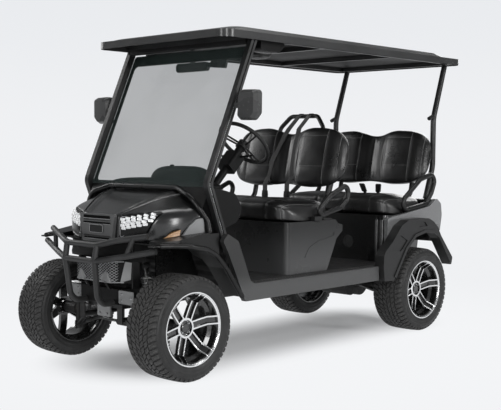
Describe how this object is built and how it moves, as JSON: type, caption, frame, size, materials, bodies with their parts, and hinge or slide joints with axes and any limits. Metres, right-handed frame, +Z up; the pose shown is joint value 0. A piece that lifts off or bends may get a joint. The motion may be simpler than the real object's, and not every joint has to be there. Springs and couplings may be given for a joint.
{
  "type": "four-seat golf cart",
  "caption": "Lifted electric cart for passengers with a flat roof, windscreen, bench seats, tube front guard, steered front wheels and a seat that lifts over its battery bay.",
  "frame": {"origin": "on the ground under the middle of the cart's length and width", "axes": "+X to the vehicle's left, +Y to its rear along its length, +Z up"},
  "size_m": [1.4556, 3.07, 1.9669],
  "materials": {
    "black_frame": "matte black painted steel and aluminium",
    "body_paint": "metallic charcoal body paint",
    "panel_paint": "metallic grey body paint",
    "trim_plastic": "grained black plastic",
    "grey_plastic": "grained dark grey plastic",
    "roof_plastic": "satin black moulded roof",
    "tyre_rubber": "tyre rubber",
    "rim_alloy": "machined alloy with black windows",
    "seat_vinyl": "black vinyl",
    "screen_glass": "tinted clear sheet",
    "lamp_lens": "clear lamp lens",
    "amber_lens": "amber lens",
    "red_lens": "red lens",
    "bright_steel": "zinc plated steel",
    "battery_case": "battery case"
  },
  "bodies": {
    "chassis": {"chassis_frame": "black_frame", "front_cowl": "body_paint", "grille": "grey_plastic", "headlamps": "lamp_lens", "turn_markers": "amber_lens", "cowl_hoop": "black_frame", "brush_guard": "black_frame", "front_valance": "trim_plastic", "beam_end_plates": "grey_plastic", "cowl_side_trims": "grey_plastic", "roof_header": "trim_plastic", "roof_speakers": "trim_plastic", "tow_plate": "bright_steel", "dashboard": "trim_plastic", "steering_column": "trim_plastic", "pedals": "trim_plastic", "windscreen": "screen_glass", "screen_trim": "trim_plastic", "front_struts": "grey_plastic", "rear_struts": "black_frame", "roof": "roof_plastic", "roof_frame": "black_frame", "side_mirrors": "trim_plastic", "inside_mirror": "trim_plastic", "front_fenders": "trim_plastic", "rear_fenders": "trim_plastic", "sills": "grey_plastic", "floor": "trim_plastic", "front_seat_box": "trim_plastic", "battery_pack": "battery_case", "rear_body": "trim_plastic", "rear_side_panels": "panel_paint", "tail_lamps": "red_lens", "rear_seat_cushion": "seat_vinyl", "front_seat_back": "seat_vinyl", "rear_seat_back": "seat_vinyl", "seat_frames": "black_frame", "hip_restraints": "grey_plastic", "suspension_arms": "black_frame", "front_dampers": "black_frame", "rack_housing": "black_frame", "rear_axle": "black_frame", "drive_motor": "black_frame", "leaf_springs": "black_frame"},
    "knuckle_left": {"knuckle_left": "black_frame"},
    "knuckle_right": {"knuckle_right": "black_frame"},
    "steering_rack": {"steering_rack": "bright_steel"},
    "steering_wheel": {"steering_wheel": "trim_plastic"},
    "front_seat_lid": {"front_seat_cushion": "seat_vinyl"},
    "wheel_front_left": {"tyre_front_left": "tyre_rubber", "rim_front_left": "rim_alloy"},
    "wheel_front_right": {"tyre_front_right": "tyre_rubber", "rim_front_right": "rim_alloy"},
    "wheel_rear_left": {"tyre_rear_left": "tyre_rubber", "rim_rear_left": "rim_alloy"},
    "wheel_rear_right": {"tyre_rear_right": "tyre_rubber", "rim_rear_right": "rim_alloy"}
  },
  "joints": [
    {"name": "steer_left", "type": "hinge", "parent": "chassis", "child": "knuckle_left", "pos_m": [0.4, -1.23, 0.292], "axis": [0, 0, 1], "range_deg": [-25, 25]},
    {"name": "steer_right", "type": "hinge", "parent": "chassis", "child": "knuckle_right", "pos_m": [-0.4, -1.23, 0.292], "axis": [0, 0, 1], "range_deg": [-25.1, 25.1]},
    {"name": "rack_slide", "type": "slide", "parent": "chassis", "child": "steering_rack", "axis": [1, 0, 0], "range_m": [-0.0485, 0.0485]},
    {"name": "steering_wheel_turn", "type": "hinge", "parent": "chassis", "child": "steering_wheel", "pos_m": [0.28, -0.48327, 1.30673], "axis": [0, 0.7071, 0.7071], "range_deg": [-301, 301]},
    {"name": "seat_lid_hinge", "type": "hinge", "parent": "chassis", "child": "front_seat_lid", "pos_m": [0, -0.354, 0.822], "axis": [1, 0, 0], "range_deg": [0, 60]},
    {"name": "wheel_front_left_spin", "type": "hinge", "parent": "knuckle_left", "child": "wheel_front_left", "pos_m": [0.5125, -1.23, 0.292], "axis": [1, 0, 0], "continuous": true},
    {"name": "wheel_front_right_spin", "type": "hinge", "parent": "knuckle_right", "child": "wheel_front_right", "pos_m": [-0.5125, -1.23, 0.292], "axis": [1, 0, 0], "continuous": true},
    {"name": "wheel_rear_left_spin", "type": "hinge", "parent": "chassis", "child": "wheel_rear_left", "pos_m": [0.5125, 0.99, 0.292], "axis": [1, 0, 0], "continuous": true},
    {"name": "wheel_rear_right_spin", "type": "hinge", "parent": "chassis", "child": "wheel_rear_right", "pos_m": [-0.5125, 0.99, 0.292], "axis": [1, 0, 0], "continuous": true}
  ],
  "couplings": [
    {"joint": "steer_right", "follows": "steer_left", "ratio": 1},
    {"joint": "rack_slide", "follows": "steer_left", "m_per_rad": -0.11},
    {"joint": "steering_wheel_turn", "follows": "steer_left", "ratio": 12}
  ]
}
